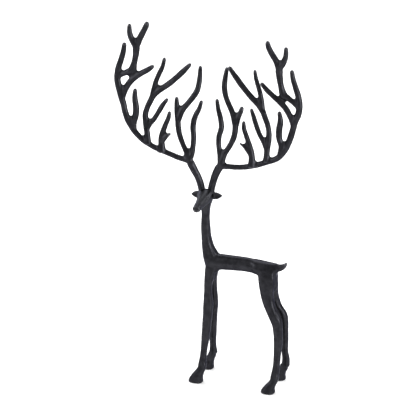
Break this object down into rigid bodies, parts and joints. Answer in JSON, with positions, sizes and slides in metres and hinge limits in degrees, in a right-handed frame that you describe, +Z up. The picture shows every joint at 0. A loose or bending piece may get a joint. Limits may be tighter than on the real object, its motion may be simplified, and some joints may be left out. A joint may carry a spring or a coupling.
{
  "type": "cast iron stag statue",
  "caption": "Tall black cast iron stag that stands on its four hooves, its head turned aside under wide, flat, many-tined antlers.",
  "frame": {"origin": "centre of the bounding box at the height of the soles, on the surface the stag stands on", "axes": "+Z up, towards the antler tips; +X from the chest towards the tail and towards the stag's left antler; the muzzle points along -Y"},
  "size_m": [0.323, 0.0846, 0.6006],
  "materials": {
    "blackened_cast_iron": "satin black, sand cast"
  },
  "bodies": {
    "root": {"stag": "blackened_cast_iron"}
  },
  "joints": []
}
